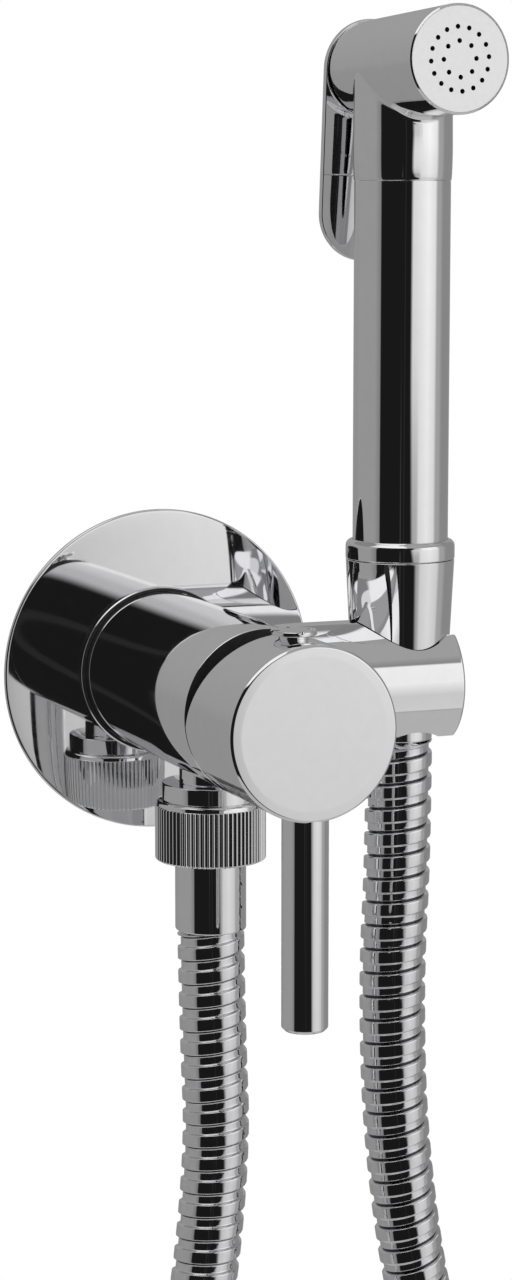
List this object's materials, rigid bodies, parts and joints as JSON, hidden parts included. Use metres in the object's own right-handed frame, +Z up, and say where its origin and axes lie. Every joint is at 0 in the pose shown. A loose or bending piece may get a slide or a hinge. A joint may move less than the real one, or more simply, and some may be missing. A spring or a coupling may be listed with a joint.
{
  "type": "bidet shower mixer",
  "caption": "Wall-mounted concealed single-lever mixer with a hand bidet spray in a side holder and a corrugated metal hose.",
  "frame": {"origin": "centre of the wall plate's back face, which lies on the wall", "axes": "+Z up, +Y into the wall, +X towards the side arm that holds the hand shower"},
  "size_m": [0.1986, 0.0963, 0.6165],
  "materials": {
    "wall_rosette": "polished",
    "rosette_seal": "closed cell foam",
    "rosette_ring": "polished",
    "mixer_body": "polished",
    "inlet_check_valves": "matt",
    "cartridge_gasket": "matt",
    "cartridge_housing": "matt",
    "ceramic_seat_disc": "lapped ceramic",
    "cartridge_ring_nut": "machined",
    "holder_arm": "polished",
    "holder_liner": "matt",
    "outlet_nipple": "polished",
    "outlet_check_valve": "matt",
    "hose_washer_lower": "matt",
    "hose_ferrule_lower": "polished",
    "hose_nut": "polished",
    "bidet_hose": "polished",
    "cartridge_turret": "matt",
    "stem_pin": "fine brushed",
    "ceramic_moving_disc": "lapped ceramic",
    "cartridge_stem": "machined",
    "handle_knob": "polished",
    "handle_pin": "polished",
    "handle_set_screw": "fine brushed",
    "screw_cap": "polished",
    "hose_ferrule_upper": "polished",
    "hose_washer_upper": "matt",
    "cone_nut": "polished",
    "handset_tube": "polished",
    "tube_end_ring": "polished",
    "handset_head": "polished",
    "spray_face": "matt",
    "spray_gasket": "matt",
    "valve_gland": "matt",
    "valve_spring": "fine brushed",
    "lever_pin": "fine brushed",
    "thumb_lever": "polished",
    "valve_plunger": "machined",
    "valve_washer": "matt"
  },
  "bodies": {
    "mixer": {"wall_rosette": "wall_rosette", "rosette_seal": "rosette_seal", "rosette_ring": "rosette_ring", "mixer_body": "mixer_body", "inlet_check_valves": "inlet_check_valves", "cartridge_gasket": "cartridge_gasket", "cartridge_housing": "cartridge_housing", "ceramic_seat_disc": "ceramic_seat_disc", "cartridge_ring_nut": "cartridge_ring_nut", "holder_arm": "holder_arm", "holder_liner": "holder_liner", "outlet_nipple": "outlet_nipple", "outlet_check_valve": "outlet_check_valve", "hose_washer_lower": "hose_washer_lower", "hose_ferrule_lower": "hose_ferrule_lower", "hose_nut": "hose_nut", "bidet_hose": "bidet_hose"},
    "turret": {"cartridge_turret": "cartridge_turret", "stem_pin": "stem_pin"},
    "slider": {"ceramic_moving_disc": "ceramic_moving_disc"},
    "handle": {"cartridge_stem": "cartridge_stem", "handle_knob": "handle_knob", "handle_pin": "handle_pin", "handle_set_screw": "handle_set_screw", "screw_cap": "screw_cap"},
    "hose_end": {"hose_ferrule_upper": "hose_ferrule_upper", "hose_washer_upper": "hose_washer_upper"},
    "handset": {"cone_nut": "cone_nut", "handset_tube": "handset_tube", "tube_end_ring": "tube_end_ring", "handset_head": "handset_head", "spray_face": "spray_face", "spray_gasket": "spray_gasket", "valve_gland": "valve_gland", "valve_spring": "valve_spring", "lever_pin": "lever_pin"},
    "lever": {"thumb_lever": "thumb_lever"},
    "plunger": {"valve_plunger": "valve_plunger", "valve_washer": "valve_washer"}
  },
  "joints": [
    {"name": "handle_turn", "type": "hinge", "parent": "mixer", "child": "turret", "pos_m": [0, -0.0575, 0], "axis": [0, 1, 0], "range_deg": [-45, 45]},
    {"name": "handle_lift", "type": "hinge", "parent": "turret", "child": "handle", "pos_m": [0, -0.0575, 0], "axis": [-1, 0, 0], "range_deg": [0, 22]},
    {"name": "disc_slide", "type": "slide", "parent": "turret", "child": "slider", "axis": [0, 0, -1], "range_m": [0, 0.0018]},
    {"name": "handset_lift", "type": "slide", "parent": "mixer", "child": "hose_end", "axis": [0, 0, 1], "range_m": [0, 0.032]},
    {"name": "handset_turn", "type": "hinge", "parent": "hose_end", "child": "handset", "pos_m": [0.0439, -0.0398, 0], "axis": [0, 0, 1], "range_deg": [-90, 90]},
    {"name": "lever_press", "type": "hinge", "parent": "handset", "child": "lever", "pos_m": [0.0439, -0.0264, 0.1424], "axis": [-1, 0, 0], "range_deg": [0, 4.3], "stiffness_Nm_per_rad": 1, "springref_deg": -3.44},
    {"name": "plunger_slide", "type": "slide", "parent": "handset", "child": "plunger", "axis": [0, -1, 0], "range_m": [0, 0.0007], "deforming": ["valve_spring"]}
  ],
  "couplings": [
    {"joint": "disc_slide", "follows": "handle_lift", "m_per_rad": 0.00449},
    {"joint": "plunger_slide", "follows": "lever_press", "m_per_rad": 0.0081}
  ]
}
